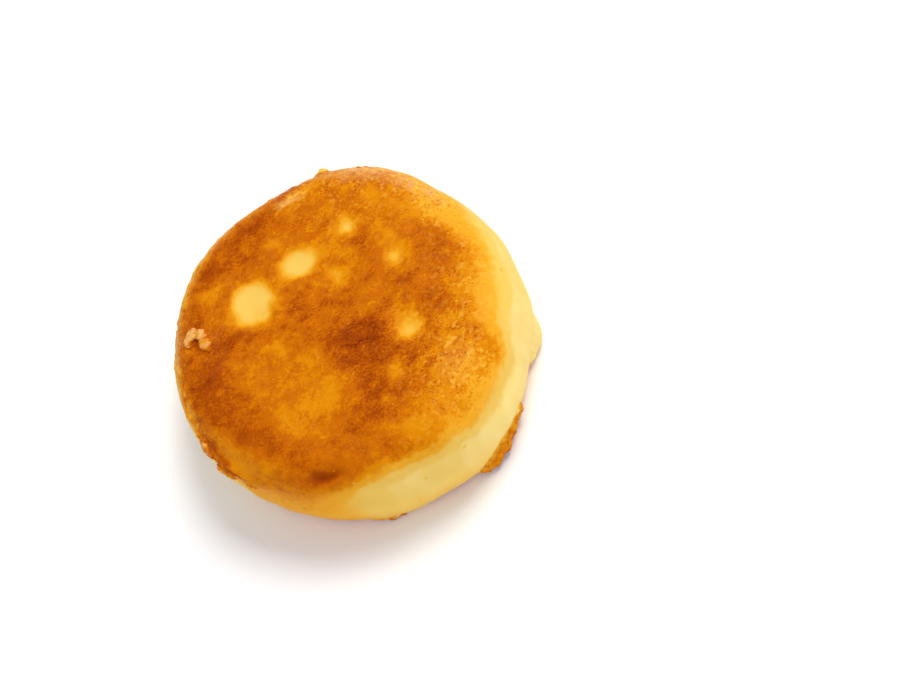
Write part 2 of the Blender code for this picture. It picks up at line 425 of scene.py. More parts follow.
FACE_PATCHES = BROAD_FIELDS + BROWNEST_PATCHES + GOLDEN_TOUCHES + BARE_SPOTS + SHADED_HOLLOWS
print(f"{len(FACE_PATCHES)} patches make up the upper face")

# %% [markdown]
# The underside was fried in the same pan, so it gets a few large patches of the same kinds.

# %% The patches of the underside
UNDERSIDE_PATCHES = (
    (0, 0, 16, 12, 20, 0.7, 0.4),
    (-14, 12, 9, 6, -30, 0.48, 0.4),
    (12, -18, 8, 5, 15, 0.46, 0.4),
    (20, 12, 5, 7, 0, 0.76, 0.4),
    (-13, -9, 5, 3.4, 20, 0.07, 0.16),
    (9.5, -14, 3.6, 3, -30, 0.12, 0.18),
    (15.5, 7, 4.4, 3.2, 60, 0.07, 0.16),
    (-7.5, 15.5, 3, 2.4, 0, 0.22, 0.22),
)
print(f"{len(UNDERSIDE_PATCHES)} patches make up the underside")

# %% [markdown]
# A face starts from the usual browning, varied by blotches and by streaks that follow the
# spatula. Each patch then draws it towards its own browning: wholly inside the ellipse, by half
# at its outline, and less and less outside, over a distance set by its softness.

# %% Blend the patches
USUAL_BROWNING = 0.61


def soft_step(distance, width):
    """Rises smoothly from 0 to 1 as a distance passes 0."""
    return 1 / (1 + np.exp(-np.clip(distance / width, -30, 30)))


def from_ellipse(points, x, y, length, width, turn):
    """How far each point is from the middle of an ellipse, where 1 is its outline."""
    turn = math.radians(turn)
    across, along = points[:, 0] - x, points[:, 1] - y
    run = (across * math.cos(turn) + along * math.sin(turn)) / length
    rise = (along * math.cos(turn) - across * math.sin(turn)) / width
    return np.hypot(run, rise)


def browning_of_face(points, patches):
    """How brown a face is at each point: the usual browning, changed by each patch in turn."""
    browning = USUAL_BROWNING + 0.10 * blotches(points, 7, 1) + 0.06 * blotches(points, 2.6, 2)
    dragged = np.stack((
        (points[:, 0] + 0.55 * points[:, 1]) / 1.3, (points[:, 1] - 0.55 * points[:, 0]) / 8,
        points[:, 2] / 8), 1)
    browning += 0.07 * blotches(dragged, 1, 16)
    for *ellipse, there, softness in patches:
        share = soft_step(1 - from_ellipse(points, *ellipse), softness)
        browning += share * (there - browning)
    clumpy = np.clip((browning - 0.25) / 0.2, 0, 1)
    return browning + clumpy * 0.05 * blotches(points, 1.5, 3)


middle_browning = browning_of_face(np.zeros((1, 3)), FACE_PATCHES)[0]
print(f"The middle of the face is browned by {middle_browning:.2f}")

# %% [markdown]
# The crust ends somewhere round the shoulder. At the front it ends within 5 mm. At the left
# gold runs down nearly to the floor, partly real gold and partly painted shade of the lower
# left flank, and at the right it fades out over 10 mm. For some azimuths a table says how far
# from the middle of the face the brown starts to fade, and where gold, straw yellow and bare
# curd are reached: straight out, then round the shoulder and down the flank. All are in
# millimetres.

# %% The edge of the crust
# (azimuth in degrees, where the brown starts to fade, where it is gold, straw, gone)
CRUST_EDGE = (
    (-180, 34.2, 36, 39, 42.6),
    (-175, 35.4, 37.2, 39.6, 43),
    (-171, 36.8, 38.8, 41.4, 44.6),
    (-166, 37.6, 40.6, 44, 47),
    (-160, 33, 44.6, 47.6, 49.6),
    # These rows at the lower left reach far down, partly as painted shade of that flank.
    (-150, 32.6, 44.4, 49, 52),
    (-142, 34, 46, 51, 54),
    (-134, 31.2, 41.4, 50, 54),
    (-128, 32, 37.2, 41.8, 45.6),
    (-122, 32.6, 35.4, 38.2, 41),
    (-116, 30, 33.2, 35.6, 38.8),
    (-108, 29.8, 32.4, 34.8, 38),
    (-100, 31.6, 33.1, 35.5, 38.4),
    (-92, 31.8, 33.8, 36.3, 38.9),
    (-84, 30.2, 33.4, 35.8, 38.9),
    (-76, 29.8, 35.4, 37.3, 39.8),
    (-68, 29.4, 33.4, 38, 41.4),
    (-60, 30.8, 33.5, 38, 41.4),
    (-52, 32.8, 35.2, 38.5, 42),
    (-44, 26.2, 29.8, 33, 37),
    (-36, 24.8, 28.6, 33.3, 36.8),
    (-28, 23.4, 29, 34, 36.8),
    (-20, 24.6, 30.3, 34.4, 36.8),
    (-12, 25.8, 30.6, 35.2, 39.2),
    (-4, 25.4, 29.9, 35.4, 40.6),
    (4, 24.4, 28.2, 40, 45),
    (12, 24, 28.4, 44, 48),
    (20, 25, 30.4, 47, 50),
    (28, 28.8, 35.6, 46, 49),
    (36, 30.2, 36.8, 46, 49),
    (44, 31, 37, 46, 49),
    (52, 32, 37.4, 45, 48),
    (65, 32.4, 36.8, 43, 46),
    (82, 30.6, 35.4, 41, 44),
    (100, 29.4, 34.4, 40, 43),
    (116, 29.4, 33.2, 38, 41.6),
    (130, 29.6, 33.6, 38.4, 41.6),
    (142, 30.8, 34.8, 39.4, 42.4),
    (156, 30.4, 33, 35.4, 39),
    (166, 30.6, 33.6, 36.4, 40),
    (173, 30.4, 34.2, 37.6, 41.4),
)
print(f"{len(CRUST_EDGE)} rows round the rim")

# %% [markdown]
# Behind the torn scales of the left rim the crust is darkened as painted shade in the crease,
# and a few small brown specks mark the bare flank. Close to the floor the browning of the
# underside begins, with a sharp edge.

# %% The crease, the specks and the lower edge
# (azimuth, way from the middle, how much darker, as painted shade)
SHADED_CREASE = ((168, 31.6, 0), (176, 33.6, 0.06), (182, 34, 0.1), (188, 34.5, 0.14),
          (191, 35, 0.22), (194, 35.7, 0.32), (197, 36.2, 0.28), (200, 36.5, 0.1),
          (203, 36.8, 0))
# (azimuth, way from the middle)
SPECKS = ((-99.7, 40.8), (-105.4, 46.6), (-84.3, 38.8), (-23.7, 34.2))
SPECK_RADIUS, SPECK_BROWNER = 0.26, 0.30
UNDERSIDE_EDGE, UNDERSIDE_FADE = 1.1, 0.25
print(f"{len(SHADED_CREASE)} points along the crease, {len(SPECKS)} specks on the flank")

# %% [markdown]
# A plain distance from the middle can't tell the shoulder from the flank below it, as both lie
# equally far out. So a point's place is measured as an ant would walk there: over the flat
# of the face, round the shoulder and down.

# %% Measure the way over the shoulder
def azimuth_of(points):
    """The azimuth of each point, in degrees from -180 to 180."""
    return np.degrees(np.arctan2(points[:, 1], points[:, 0]))


def way_from_middle(points):
    """How far each point is from the face's middle, measured over the shoulder and down."""
    out = np.hypot(points[:, 0], points[:, 1])
    flat = RADIUS - TOP_EDGE
    turned = np.arctan2(out - flat, points[:, 2] - (HEIGHT - TOP_EDGE))
    round_shoulder = flat + TOP_EDGE * np.clip(turned, 0, math.pi / 2)
    down_flank = np.clip(HEIGHT - TOP_EDGE - points[:, 2], 0, None)
    return np.where(out < flat, out, round_shoulder) + down_flank


def hump(distance, spread):
    """1 in the middle, falling smoothly to 0 on both sides."""
    return np.exp(-((distance / spread) ** 2))


def off_place(points, x, y):
    """How far each point is from a place, seen from above."""
    return np.hypot(points[:, 0] - x, points[:, 1] - y)


def smooth_rise(values, start, end):
    """Rises smoothly from 0 at the start to 1 at the end."""
    part = np.clip((values - start) / (end - start), 0, 1)
    return part * part * (3 - 2 * part)


surface_way = way_from_middle(np.array(((RADIUS, 0, 0),)))[0]
print(f"From the middle down to the floor it is {surface_way:.1f} mm")

# %% [markdown]
# The side takes the browning of its face at the top and changes it in three steps on the way
# down: to gold, to straw, and to the faint tint of the flank itself. That tint is deeper near
# the floor, and much deeper at the left front, where it is painted shade rather than browning.

# %% Let the browning run out over the side
GOLD, STRAW = 0.34, 0.17


def tint_of_flank(points, azimuth):
    """The flank's tint: deeper at some sides, near the floor and in streaks, and painted shade at
    the left.
    """
    streaks = blotches(points * (1, 1, 0.3), 2.6, 8) + blotches(points, 7, 9)
    # At the left front the flank is darkened as painted shade, not as browning.
    left_shade = soft_step(azimuth + 165, 6) * soft_step(-122 - azimuth, 4)
    front = soft_step(azimuth + 128, 5) * soft_step(-82 - azimuth, 5)
    lower = np.clip((11 - points[:, 2]) / 4, 0, 1)
    right = soft_step(azimuth + 34, 4) * soft_step(24 - azimuth, 8)
    low = soft_step(2.6 - points[:, 2], 0.9)
    deeper = 0.24 * left_shade + (0.045 + 0.04 * lower) * front + 0.055 * right + 0.08 * low
    return 0.04 + deeper + 0.03 * streaks


def browning_of_side(points, face):
    """Lets the browning of a face run out over the shoulder: to gold, to straw, to curd."""
    azimuth = azimuth_of(points)
    edge_azimuth, *rows = np.array(CRUST_EDGE).T
    start, gold, straw, gone = (np.interp(azimuth, edge_azimuth, row, period=360) for row in rows)
    wavering = 0.7 * blotches(points, 3, 5) + 0.8 * blotches(points, 1.2, 6)
    way = way_from_middle(points) + wavering
    tint = tint_of_flank(points, azimuth)
    upper = face
    for begin, end, there in ((start, gold, GOLD), (gold, straw, np.maximum(tint, STRAW)),
                              (straw, gone, tint)):
        upper = upper + smooth_rise(way, begin, end) * (there - upper)
    # Behind the scales the crease is darkened as painted shade.
    crease_azimuth, crease_way, crease_shade = np.array(SHADED_CREASE).T
    behind = hump(way - np.interp(azimuth % 360, crease_azimuth, crease_way), 0.65)
    upper = upper + behind * np.interp(azimuth % 360, crease_azimuth, crease_shade, 0, 0)
    for speck_azimuth, speck_way in SPECKS:
        aside = np.radians(azimuth - speck_azimuth) * RADIUS
        away = np.hypot(aside, way - wavering - speck_way)
        upper = upper + SPECK_BROWNER * hump(away, SPECK_RADIUS)
    down = UNDERSIDE_EDGE - points[:, 2] + 0.9 * blotches(points, 3, 7)
    return upper + soft_step(down, UNDERSIDE_FADE) * (face - upper)


# %% [markdown]
# Now the tables meet the mesh. Every point is first moved about a little by a wide and a fine
# noise, so that the ellipses get uneven outlines, with a seed, so that they are the same in
# each run. Its browning is then stored on the vertex, where the material can read it.

# %% Work out the browning of the syrnik
noise.seed_set(1)


def bent(points):
    """The points, moved about a little, so that what is drawn on them gets uneven outlines."""
    wide = np.array([noise.noise_vector(Vector(point) / 2.4) for point in points])
    fine = np.array([noise.noise_vector(Vector(point) / 0.9) for point in points])
    return points + 0.55 * wide + 0.3 * fine


def browning_at(points):
    """How brown the syrnik is at each point, all round."""
    wandering = bent(points)
    upper = browning_of_face(wandering, FACE_PATCHES)
    lower = browning_of_face(wandering + (0, 0, 40), UNDERSIDE_PATCHES)
    face = np.where(points[:, 2] > HEIGHT / 2, upper, lower)
    return np.clip(browning_of_side(points, face), 0, 1)


def store(piece, name, values):
    """Keeps one value for each vertex as an attribute of the mesh, for its material to read."""
    attribute = piece.data.attributes.new(name, "FLOAT", "POINT")
    attribute.data.foreach_set("value", values.astype(np.float32))


points = points_of(syrnik)
browning = browning_at(points)
store(syrnik, "browning", browning)
print(f"Browning runs from {browning.min():.2f} to {browning.max():.2f}")

# %% [markdown]
# Round the far shoulder and along the left rim a pale peach bloom lies on the crust. It is
# partly pale, thin crust and partly a painted sheen, where the rims are seen edge-on. It is
# painted in the same way, as a second value, and the golden fields of the face get a little of
# it, for their pale flecks and painted glints.

# %% Work out the bloom and the painted sheen
FAINT_BLOOM_AND_SHEEN = 0.06
# (azimuth, its spread, way from the middle, its spread, bloom and painted sheen)
RIM_BLOOM_AND_SHEEN = (
    # Along these rims the bloom is partly pale crust and partly painted sheen.
    (15, 14, 31.5, 4.5, 0.56),
    (42, 20, 33, 4.5, 0.5),
    (76, 22, 34, 2.6, 0.4),
    (125, 34, 34, 2.5, 0.45),
    (162, 15, 35, 3, 0.6),
    (179, 9, 35.5, 2.4, 0.3),
    (-170, 12, 40, 3, 0.46),
    (74, 9, 28, 1.6, 0.46),
)
# (x, y, spread, bloom, which brings pale flecks and painted glints)
FIELDS_OF_FLECKS_AND_GLINTS = (
    (12, -24, 11, 0.34),
    (24, -7, 10, 0.26),
    (16, 20, 8, 0.18),
    (-24, 18, 6, 0.2),
)


def bloom_and_sheen_at(points):
    """How much pale bloom and painted sheen lies on the crust at each point."""
    azimuth = azimuth_of(points)
    way = way_from_middle(points)
    bloom_and_sheen = np.full(len(points), FAINT_BLOOM_AND_SHEEN)
    flaky = 1 + 0.45 * blotches(points, 1.3, 15)
    for middle, spread, out, width, there in RIM_BLOOM_AND_SHEEN:
        aside = (azimuth - middle + 180) % 360 - 180
        bloom_and_sheen += there * flaky * hump(aside, spread) * hump(way - out, width)
    for x, y, spread, there in FIELDS_OF_FLECKS_AND_GLINTS:
        bloom_and_sheen += there * hump(off_place(points, x, y), spread)
    return np.clip(bloom_and_sheen, 0, 1)


bloom_and_sheen = bloom_and_sheen_at(points)
store(syrnik, "bloom_and_sheen", bloom_and_sheen)
print(f"Bloom runs from {bloom_and_sheen.min():.2f} to {bloom_and_sheen.max():.2f}")

# %% [markdown]
# Where the crust soaked up more fat it lies smooth, with little grain. A third value says how
# smooth it is, from 0 for the crumbs and flakes to about 0.5 in the smoothest fields.

# %% Work out the smoothness
USUAL_SMOOTHNESS = 0.14
# (x, y, spread, smoothness more than elsewhere)
SMOOTH_FIELDS = (
    (-30, -10, 8, 0.46),
    (-21, -26, 8, 0.42),
    (-19, -24, 3, 0.25),
    (0, -31, 6, 0.2),
    (-19, -30, 6, 0.2),
    (23, 0, 9, 0.26),
    (24, -16, 6, 0.2),
    (3, -9, 7, -0.26),
    (11, -15, 4, -0.14),
)


def smoothness_at(points):
    """How much the grain of the crust is smoothed out at each point."""
    smooth = np.full(len(points), USUAL_SMOOTHNESS)
    for x, y, spread, more in SMOOTH_FIELDS:
        smooth += more * hump(off_place(points, x, y), spread)
    return smooth


smoothness = smoothness_at(points)
store(syrnik, "smoothness", smoothness)
print(f"Smoothness runs from {smoothness.min():.2f} to {smoothness.max():.2f}")

# %% [markdown]
# ## Relief
#
# Crust is a thin hard skin, so it stands a little proud of the bare curd, and it is rough,
# while the curd is smooth. Both follow from the browning: bare curd sinks by the crust's
# thickness, and grain is cut only where the crust is. Everything is cut inwards, so the
# underside stays on the floor and the syrnik keeps its size. The rims get larger crags.

# %% Cut the relief
CRUST_THICKNESS = 0.16
# (width of the bumps, their height, where they are, the level that stays in place)
BUMPS = (
    (2.2, 0.7, "rim", 0.5),
    (1.0, 0.35, "rim", 0.5),
    (1.0, 0.35, "crust", 0.6),
    (5, 0.25, "bare", 0.5),
)

crust = np.clip((browning - 0.2) / 0.25, 0, 1)
azimuth = azimuth_of(points) % 360
craggy = hump(azimuth - 150, 52)
strip = craggy * hump(way_from_middle(points) - 37, 4)
rim = hump(np.hypot(points[:, 0], points[:, 1]) - 32.5, 2.5)
rim = rim * np.clip(crust + strip, 0, 1) * (0.15 + 0.85 * craggy)
weigh(syrnik, "bare", 1 - crust)
weigh(syrnik, "crust", np.clip(crust * (1.1 - smoothness), 0, 1))
weigh(syrnik, "rim", rim)
shape(syrnik, "DISPLACE", strength=-CRUST_THICKNESS * MM, mid_level=0, vertex_group="bare")
for width, height, where, level in BUMPS:
    roughen(syrnik, width, height, where, level)
relief = np.abs(points_of(syrnik) - points).max()
print(f"The relief moved points by up to {relief:.2f} mm")

# %% [markdown]
# The wrinkle and a hollow beside the grains of curd are pressed in last, and all is kept above
# the floor, so that the underside still lies flat on it.

# %% Press in the wrinkle
# (x, y, half length, half width, turn in degrees, depth)
DENTS = (
    (-19.2, -23.5, 3, 1.1, -24, 0.6),
    (-21, -22.3, 1.6, 0.9, -40, 0.5),
    (-22.9, 15.6, 1.3, 1.1, 0, 0.5),
)

relieved = points_of(syrnik)
for *ellipse, depth in DENTS:
    pressed = depth * hump(from_ellipse(relieved, *ellipse), 1)
    relieved[:, 2] -= pressed * (relieved[:, 2] > HEIGHT / 2)
relieved[:, 2] = np.maximum(relieved[:, 2], 0)
move_points(syrnik, relieved)
print(f"Pressed in {len(DENTS)} dents")

# %% [markdown]
# ## The torn lip
#
# At the front the lower crust spread out in the pan, tore, and rolled up onto the flank as a
# thick golden lip. It is as long as a finger is wide, so it has to follow the round of the rim.
# A subdivided cube is therefore wrapped round it: its length becomes the azimuth, its height
# runs between the two edges of the lip, and its depth goes outwards. A table gives the edges
# at a few azimuths. A fine voxel remesh then evens the mesh, and clouds roughen it. The same
# way makes a sliver of crust, a pale nodule of curd that swelled out, and lips on the far side.

# %% The edges of the lips
# (azimuth, height of its lower edge, of its upper edge, radius at the upper edge, at the belly)
LIP = (
    (-85.2, 1, 2.7, 33.8, 34.5),
    (-83.6, 0.4, 3.6, 34, 35.2),
    (-80, 0.3, 4.6, 34.1, 35.7),
    (-76.5, 0.3, 5.5, 34.3, 35.5),
    (-73.5, 0.5, 5.9, 34.4, 35.7),
    (-72, 0.9, 5.8, 34.3, 35.1),
    (-69, 1.2, 5.6, 34.2, 34.9),
    (-66, 1.6, 5.4, 34.1, 34.6),
    (-63, 2.2, 5.1, 34, 34.4),
    (-60, 2.8, 5, 33.9, 34.2),
)
SLIVER = (
    (-122.5, 0.2, 0.7, 32.2, 32.3),
    (-118, 0.1, 1.3, 33, 33.2),
    (-113.5, 0.3, 1, 32.6, 32.7),
)
NODULE = (
    (-45, 1.8, 6.5, 33.5, 33.2),
    (-41, 1, 8.2, 34, 34.2),
    (-37.5, 0.6, 9.6, 34.4, 35),
    (-34, 0.6, 10.2, 34.6, 35.1),
    (-31, 0.9, 9.6, 34.4, 34.6),
    (-27, 1.5, 7.5, 33.6, 33.3),
)
FAR_LIPS = (
    (
        (20, 1, 2.6, 33, 33),
        (24, 0.3, 3.6, 33.8, 34.3),
        (31, 0.3, 4.4, 34.4, 34.9),
        (36, 0.4, 3.6, 34.4, 34.6),
        (41, 1, 2.4, 33.8, 33.6),
    ),
    (
        (137, 1, 2.4, 33.2, 33.2),
        (142, 0.3, 3.8, 33.9, 34.4),
        (150, 0.3, 4.8, 34.1, 34.8),
        (158, 0.4, 3.8, 34, 34.4),
        (164, 1, 2.4, 33.6, 33.6),
    ),
)
print(f"{3 + len(FAR_LIPS)} strips lie along the rim")

# %% [markdown]
# A lip is nearly burnt at its foot, where it lay in the pan, golden on its belly and pale at
# its top, where it hangs on the flank; the pale, blooming top edge is partly a painted
# highlight. So its browning follows how far up it a point is.

# %% Wrap the lips round the rim
LIP_CUTS = 24
LIP_HEIGHTS = (0, 0.12, 0.24, 0.38, 0.66, 0.82, 0.96)
# The palest values at the top stand partly for a painted highlight.
LIP_BROWNING = (0.94, 0.86, 0.64, 0.49, 0.45, 0.28, 0.08)
PALE_BROWNING = 0.04
FINE_CELL = 0.16


def wrap_round(name, stations, pale=0.0, inside=1.6):
    """A strip of crust, or of pale curd, that follows the rim past all its stations."""
    bpy.ops.mesh.primitive_cube_add(size=2 * MM)
    strip = bpy.context.object
    strip.name = name
    bpy.ops.object.mode_set(mode="EDIT")
    bpy.ops.mesh.subdivide(number_cuts=LIP_CUTS)
    bpy.ops.object.mode_set(mode="OBJECT")
    along, up, out = points_of(strip).T
    azimuths, *rows = np.array(stations).T
    azimuth = azimuths[0] + (along + 1) / 2 * (azimuths[-1] - azimuths[0])
    lowest, highest, at_top, at_belly = (np.interp(azimuth, azimuths, row) for row in rows)
    ragged = np.stack((azimuth * 0.6, out * 0, out * 0), 1)
    tears = 0.5 * blotches(ragged, 1.3, 13) + 0.4 * blotches(ragged, 0.5, 14)
    highest = highest + (1 - pale) * tears
    belly = hump(up + 0.35, 0.75)
    outer = at_top + (at_belly - at_top) * belly - 0.7 * np.clip(-up - 0.5, 0, 1)
    radius = outer - (1 - out) / 2 * inside
    turn = np.radians(azimuth)
    height = lowest + (up + 1) / 2 * (highest - lowest)
    move_points(strip, np.stack((radius * np.cos(turn), radius * np.sin(turn), height), 1))
    even_skin(strip, FINE_CELL, 4)
    roughen(strip, 1.8, 0.7 - 0.2 * pale)
    roughen(strip, 0.6, 0.45 - 0.2 * pale)
    place = points_of(strip)
    azimuth = azimuth_of(place)
    lowest, highest = (np.interp(azimuth, azimuths, row) for row in rows[:2])
    share = (place[:, 2] - lowest) / (highest - lowest) + 0.10 * blotches(place, 1.2, 11)
    browned = np.interp(share, LIP_HEIGHTS, LIP_BROWNING) + 0.12 * blotches(place, 0.8, 12)
    store(strip, "browning", np.clip(browned * (1 - pale) + PALE_BROWNING * pale, 0, 1))
    # The bloom rising to the top edge is partly a painted highlight.
    store(strip, "bloom_and_sheen", (1 - pale) * (0.16 + 0.34 * smooth_rise(share, 0.5, 0.9)))
    return strip


lip = wrap_round("torn_lip", LIP)
sliver = wrap_round("crust_sliver", SLIVER)
nodule = wrap_round("curd_nodule", NODULE, pale=1)
far_lips = [wrap_round(f"far_lip_{number}", stations) for number, stations in enumerate(FAR_LIPS)]
print(f"The lip has {len(lip.data.polygons)} faces")

# %% [markdown]
# ## Crags and crumbs
#
# Along the left rim the crust stands up in small overlapping scales, and grains of curd stuck
# to the face and browned with it. Each is a small ball, stretched, turned upright on the
# surface and sunk in a little. Balls that touch are melted into one lump by a voxel remesh
# and roughened. The lump is browned like the crust at its foot, so that it seems to have grown
# out of it. Places on the rim are given as an azimuth and a way from the middle, so that they
# sit on the real surface, whatever its form there. As that surface is rough, a ball stands
# upright on the mean of all normals within its footing.

# %% Find places on the surface
FOOTING = 1.2

normals = np.empty(len(syrnik.data.vertices) * 3)
syrnik.data.vertices.foreach_get("normal", normals)
normals = normals.reshape(-1, 3)
surface = points_of(syrnik)
azimuths = azimuth_of(surface)
ways = way_from_middle(surface)
near = kdtree.KDTree(len(surface))
for index, point in enumerate(surface):
    near.insert(point, index)
near.balance()


def spot_at(azimuth, way):
    """The number of the vertex of the syrnik at an azimuth and a way from the middle."""
    aside = np.radians((azimuths - azimuth + 180) % 360 - 180) * 33
    return int(np.argmin(np.hypot(aside, ways - way)))


print(f"{len(surface)} places to choose from")

# %% [markdown]
# One helper gives a ball its size and its stance, and another makes one piece of many.

# %% Stand balls on the surface
def ball_on(spot, size, turn, sink, fineness=3):
    """A ball of one size (along, across, up), upright on a spot of the surface."""
    bpy.ops.mesh.primitive_ico_sphere_add(subdivisions=fineness, radius=MM)
    ball = bpy.context.object
    around = [index for _, index, _ in near.find_range(surface[spot], FOOTING)]
    normal = Vector(normals[around].mean(axis=0)).normalized()
    radial = Vector((surface[spot][0], surface[spot][1], 0)).normalized()
    along = Vector((0, 0, 1)).cross(radial)
    across = normal.cross(along).normalized()
    along = across.cross(normal)
    upright = Matrix((along, across, normal)).transposed()
    upright = upright @ Matrix.Rotation(math.radians(turn), 3, "Z")
    placed = (points_of(ball) * np.array(size) / 2) @ np.array(upright).T
    move_points(ball, placed + surface[spot] - sink * normals[spot])
    return ball


def joined(name, pieces):
    """Makes one piece of several."""
    only(*pieces)
    bpy.ops.object.join()
    piece = bpy.context.object
    piece.name = name
    return piece


# %% [markdown]
# What stands up was browned in its own way, so the browning changes from that of the crust
# below it to a value of its own over the first bit of its height.

# %% Brown what stands up
def brown_upwards(piece, top, bloom_and_sheen, rise, foot_shade=0.0, uneven=1.0):
    """Browns a piece like the crust at its foot, with painted shade there, and in its own way to
    its top.
    """
    place = points_of(piece)
    below = np.array([near.find(point)[1] for point in place])
    above = np.sum((place - surface[below]) * normals[below], axis=1)
    patchy = uneven * (blotches(place, 1.0, 11) + 0.6 * blotches(place, 0.45, 12))
    share = smooth_rise(above + 0.12 * patchy, 0.08, rise)
    # The crease at the foot is darkened as painted shade.
    foot = browning[below] + foot_shade * hump(above, 0.3)
    store(piece, "browning", np.clip(foot + (top - foot) * share + 0.09 * patchy, 0, 1))
    store(piece, "bloom_and_sheen", np.clip(bloom_and_sheen * share * (1 + 0.7 * patchy), 0, 1))


# %% [markdown]
# The crags of the left rim are long and low scales that overlap, and they grow towards the
# front. Each sinks into the surface by a share of its height. Their pale, blooming tops are
# partly a painted highlight.

# %% Set crags on the rim
CRAG_SINK = 0.12
# (azimuth, way from the middle, length, width, height, turn in degrees)
RIM_CRAGS = (
    (44.5, 34.8, 1.3, 0.9, 0.8, 0),
    (47, 34.4, 1.1, 0.9, 0.8, 0),
    (158, 32.6, 4.6, 1.2, 0.6, 4),
    (164.5, 33.2, 4.8, 1.3, 0.7, -3),
    (171, 34, 4.8, 1.5, 0.9, -6),
    (177, 34.8, 5, 1.9, 1.2, -8),
    (-177.5, 35.6, 5.2, 2.2, 1.5, -14),
    (-172.5, 36.8, 5.4, 2.6, 1.9, -18),
    (-168.2, 38, 5.2, 2.6, 2.2, -18),
    (-164.6, 39.2, 4.8, 2.5, 2.2, -10),
    (-161, 39.8, 4, 1.9, 1.6, 4),
)
rim_crags = joined("rim_crags", [
    ball_on(spot_at(azimuth, way), (length, width, height), turn, CRAG_SINK * height)
    for azimuth, way, length, width, height, turn in RIM_CRAGS])
even_skin(rim_crags, FINE_CELL, 2)
roughen(rim_crags, 1.8, 0.7)
roughen(rim_crags, 0.7, 0.3)
# The paler top with bloom is partly painted highlight, the darker foot painted shade.
brown_upwards(rim_crags, 0.52, 0.50, 0.7, 0.12)
print(f"The crags have {len(rim_crags.data.polygons)} faces")

# %% [markdown]
# On the face itself a round grain of curd sits at the end of a curved row of smaller ones, and
# three grains stand on the far shoulder. They took hardly any colour, so they stay pale.

# %% Set grains of curd on the face
GRAIN_SINK = 0.15
# (x, y, length, width, height, turn in degrees)
CURD_GRAIN = (
    (-21.4, 13.7, 3.2, 2.9, 1.9, 20),
    (-21.3, 12.6, 2, 1.6, 1.1, 0),
)
CURD_ARC = (
    (-21, 15.3, 2.6, 1.8, 1.5, 85),
    (-21.1, 16.4, 3, 2, 1.6, 75),
    (-21.8, 17.3, 2.8, 2.2, 1.6, 30),
    (-22.8, 17.4, 3, 2.3, 1.5, -15),
    (-23.7, 16.9, 2.8, 2, 1.3, -50),
    (-24.3, 16.2, 2.2, 1.6, 1, -80),
)
SHOULDER_GRAINS = (
    (16.5, 28.3, 1.7, 1.3, 2, 20),
    (17.4, 27.9, 1.2, 1, 1.5, 0),
    (15.6, 28.6, 1.2, 1, 1.4, 30),
)


def spot_over(x, y):
    """The number of the vertex of the upper face that is nearest to a place."""
    underneath = normals[:, 2] < 0.1
    return int(np.argmin(off_place(surface, x, y) + 100 * underneath))


def clump(name, grains, top, bloom_and_sheen, rise, lumps=0.5):
    """Grains that grew together, sunk into the crust a little."""
    piece = joined(name, [
        ball_on(spot_over(x, y), (length, width, height), turn, GRAIN_SINK * height)
        for x, y, length, width, height, turn in grains])
    even_skin(piece, FINE_CELL, 8)
    roughen(piece, 1.3, lumps)
    roughen(piece, 0.5, 0.3 * lumps)
    brown_upwards(piece, top, bloom_and_sheen, rise, uneven=0.45)
    return piece


curd_grain = clump("curd_grain", CURD_GRAIN, 0.40, 0.80, 0.9, 0.3)
curd_arc = clump("curd_arc", CURD_ARC, 0.45, 0.85, 0.6)
shoulder_grains = clump("shoulder_grains", SHOULDER_GRAINS, 0.18, 0.5, 0.16)
print(f"The arc of grains has {len(curd_arc.data.polygons)} faces")

# %% [markdown]
# Crumbs too small to place one by one lie scattered where the face is golden and along the
# rims. They are drawn at random from the syrnik's vertices, more often where the bloom and
# painted sheen are strong, with a fixed seed.

# %% Scatter crumbs
CRUMBS = 110
CRUMB_SIZE = (0.22, 0.45)
PALEST_CRUMB = 0.14

draw = np.random.default_rng(3)
crusty = np.clip((browning_at(surface) - 0.22) / 0.1, 0, 1)
chance = crusty * (bloom_and_sheen_at(surface) ** 1.5 + 0.012) * (ways < 45)
crumbs = []
for spot in draw.choice(len(surface), CRUMBS, p=chance / chance.sum()):
    across = draw.uniform(*CRUMB_SIZE)
    size = (across * draw.uniform(1, 1.8), across, across * draw.uniform(0.6, 0.9))
    crumb = ball_on(int(spot), size, draw.uniform(0, 180), 0.1 * across, 2)
    paler = draw.uniform(0.08, 0.22)
    corners = len(crumb.data.vertices)
    store(crumb, "browning", np.full(corners, max(browning[spot] - paler, PALEST_CRUMB)))
    store(crumb, "bloom_and_sheen", np.full(corners, draw.uniform(0.0, 0.2)))
    crumbs.append(crumb)
crumbs = joined("scattered_crumbs", crumbs)
roughen(crumbs, 0.3, 0.12)
print(f"The crumbs have {len(crumbs.data.polygons)} faces")

# %% [markdown]
# ## Colour
#
# One colour ramp turns the browning into colour, from butter yellow through gold and orange to
# chestnut. Before that the browning is mottled by three noises, from blotches down to fine
# grain, because real crust browns grain by grain. All this is kept in a node group of its own,
# which takes three values and puts out a colour, a roughness and a height, so that the material
# stays short and any other fried dough could use it.

# %% The colours of the crust
RAMP = (
    (0, (0.93, 0.715, 0.255)),
    (0.14, (0.85, 0.545, 0.105)),
    (0.3, (0.83, 0.385, 0.02)),
    (0.45, (0.715, 0.24, 0.001)),
    (0.6, (0.56, 0.132, 0.0005)),
    (0.75, (0.39, 0.068, 0.0005)),
    (0.9, (0.28, 0.041, 0.0005)),
    (1, (0.18, 0.02, 0.0005)),
)
# The peach colour is partly pale crust and partly painted sheen on the rims.
PEACH_BLOOM_AND_SHEEN = (0.84, 0.46, 0.16)
